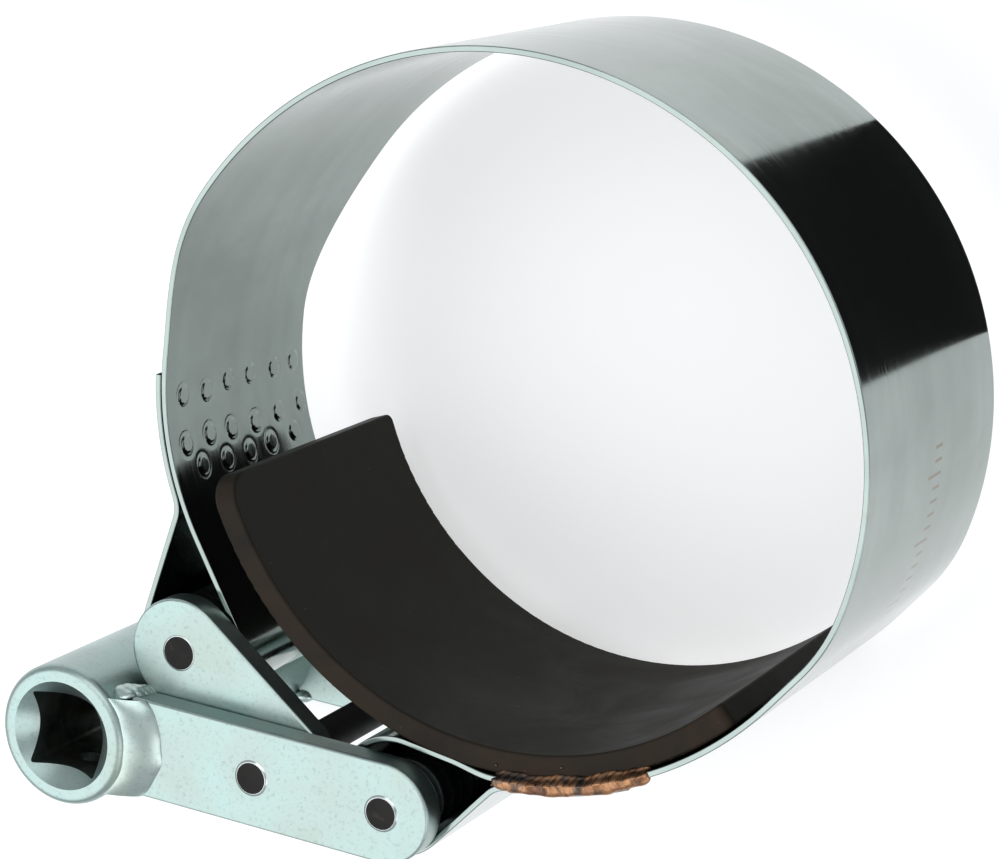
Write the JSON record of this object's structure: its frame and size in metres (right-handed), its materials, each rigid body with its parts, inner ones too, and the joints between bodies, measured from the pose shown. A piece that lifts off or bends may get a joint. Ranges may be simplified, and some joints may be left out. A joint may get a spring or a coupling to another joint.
{
  "type": "oil filter wrench",
  "caption": "Steel strap wrench for oil filters: a wide spring-steel ring with a curved pressure shoe, tightened by a short lever and link that turn from a square drive socket.",
  "frame": {"origin": "on the axis of the strap ring, in the plane of the drive socket's rear face", "axes": "+Z along the ring's and the socket's axis towards the front, +X along the lever from the socket towards the ring's far side, +Y from the lever up across the ring"},
  "size_m": [0.1476, 0.1371, 0.0696],
  "materials": {
    "strap_steel": "bright, finely brushed",
    "shoe_steel": "blackened, oiled, faintly rusty at the edges",
    "copper_weld": "rippled weld bead with heat tint",
    "zinc_steel": "satin zinc plate",
    "zinc_weld": "zinc-plated weld bead",
    "black_pin": "black oxide"
  },
  "bodies": {
    "strap_base": {"strap_anchor_end": "strap_steel", "pressure_shoe": "shoe_steel", "shoe_weld_front": "copper_weld", "shoe_weld_rear": "copper_weld", "anchor_roller": "zinc_steel"},
    "strap_lower": {"strap_lower_section": "strap_steel"},
    "strap_upper": {"strap_upper_section": "strap_steel"},
    "strap_free": {"strap_free_end": "strap_steel", "spot_welds": "strap_steel"},
    "lever": {"lever_plate_front": "zinc_steel", "lever_plate_rear": "zinc_steel", "lever_weld_front": "zinc_weld", "lever_weld_rear": "zinc_weld", "drive_socket": "zinc_steel", "pivot_pin": "black_pin", "link_pin": "black_pin"},
    "link": {"link_plate_front": "zinc_steel", "link_plate_rear": "zinc_steel", "strap_pin": "black_pin", "strap_roller": "zinc_steel"}
  },
  "joints": [
    {"name": "lever_pivot", "type": "hinge", "parent": "strap_base", "child": "lever", "pos_m": [-0.0156, -0.0645, 0.0348], "axis": [0, 0, 1], "range_deg": [0, 40]},
    {"name": "link_pivot", "type": "hinge", "parent": "lever", "child": "link", "pos_m": [-0.0402, -0.0645, 0.0348], "axis": [0, 0, 1], "range_deg": [-50, 0]},
    {"name": "strap_bend_lower", "type": "hinge", "parent": "strap_base", "child": "strap_lower", "pos_m": [0.05718, -0.01532, 0.0348], "axis": [0, 0, 1], "range_deg": [0, 2.5]},
    {"name": "strap_bend_middle", "type": "hinge", "parent": "strap_lower", "child": "strap_upper", "pos_m": [0.05718, 0.01532, 0.0348], "axis": [0, 0, 1], "range_deg": [0, 2.5]},
    {"name": "strap_bend_upper", "type": "hinge", "parent": "strap_upper", "child": "strap_free", "pos_m": [0.04186, 0.04186, 0.0348], "axis": [0, 0, 1], "range_deg": [0, 2.5]}
  ],
  "couplings": [
    {"joint": "link_pivot", "follows": "lever_pivot", "ratio": -1.238},
    {"joint": "strap_bend_lower", "follows": "lever_pivot", "ratio": 0.061},
    {"joint": "strap_bend_middle", "follows": "lever_pivot", "ratio": 0.061},
    {"joint": "strap_bend_upper", "follows": "lever_pivot", "ratio": 0.061}
  ]
}
